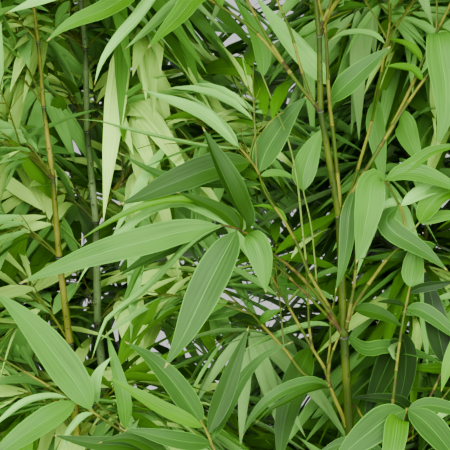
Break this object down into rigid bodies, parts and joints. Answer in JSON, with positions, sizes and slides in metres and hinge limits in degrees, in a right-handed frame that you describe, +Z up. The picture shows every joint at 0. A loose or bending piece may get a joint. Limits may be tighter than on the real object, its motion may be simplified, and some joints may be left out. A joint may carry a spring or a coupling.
{
  "type": "potted bamboo",
  "caption": "Clump of leafy bamboo with jointed upright culms, branching side shoots and long narrow leaves, in a round tapered clay pot.",
  "frame": {"origin": "middle of the flat underside of the pot", "axes": "+Z up through the pot, -Y to the front of the plant, +X to its right seen from the front"},
  "size_m": [0.9365, 0.7606, 1.955],
  "materials": {
    "clay": "unglazed fired clay, dry and slightly rough",
    "compost": "loose dark bark compost, matt",
    "culm": "olive green cane, satin, with pale rings at its nodes",
    "branch": "straw to olive brown side shoots, satin",
    "leaf": "mid green blades, satin above and paler below"
  },
  "bodies": {
    "root": {"pot": "clay", "soil": "compost", "culm_front": "culm", "culm_left": "culm", "culm_back_left": "culm", "culm_back_right": "culm", "culm_right": "culm", "culm_short": "culm", "bough_a_right": "branch", "bough_b_left": "branch", "bough_c_up": "branch", "bough_c_inner": "branch", "bough_c_right": "branch", "bough_d_upper": "branch", "bough_d_lower": "branch", "bough_d_right": "branch", "bough_e_left": "branch", "bough_f_left": "branch", "bough_f_right": "branch", "leaves_a_right": "leaf", "leaves_b_left": "leaf", "leaves_c_up": "leaf", "leaves_c_inner": "leaf", "leaves_c_right": "leaf", "leaves_d_upper": "leaf", "leaves_d_lower": "leaf", "leaves_d_right": "leaf", "leaves_e_left": "leaf", "leaves_f_left": "leaf", "leaves_f_right": "leaf", "leaves_front_8": "leaf", "leaves_front_9": "leaf", "leaves_left_6": "leaf", "leaves_left_8": "leaf", "leaves_left_10": "leaf", "leaves_left_12": "leaf", "leaves_left_15": "leaf", "leaves_back_left_6": "leaf", "leaves_back_left_8": "leaf", "leaves_back_left_10": "leaf", "leaves_back_left_13": "leaf", "leaves_back_left_15": "leaf", "leaves_back_right_6": "leaf", "leaves_back_right_8": "leaf", "leaves_back_right_10": "leaf", "leaves_back_right_12": "leaf", "leaves_back_right_15": "leaf", "leaves_right_7": "leaf", "leaves_right_9": "leaf", "leaves_right_11": "leaf", "leaves_right_14": "leaf", "leaves_short_8": "leaf", "leaves_short_10": "leaf", "leaves_short_13": "leaf", "leaves_front_top": "leaf", "leaves_left_top": "leaf", "leaves_back_left_top": "leaf", "leaves_back_right_top": "leaf", "leaves_right_top": "leaf", "leaves_short_top": "leaf"}
  },
  "joints": []
}
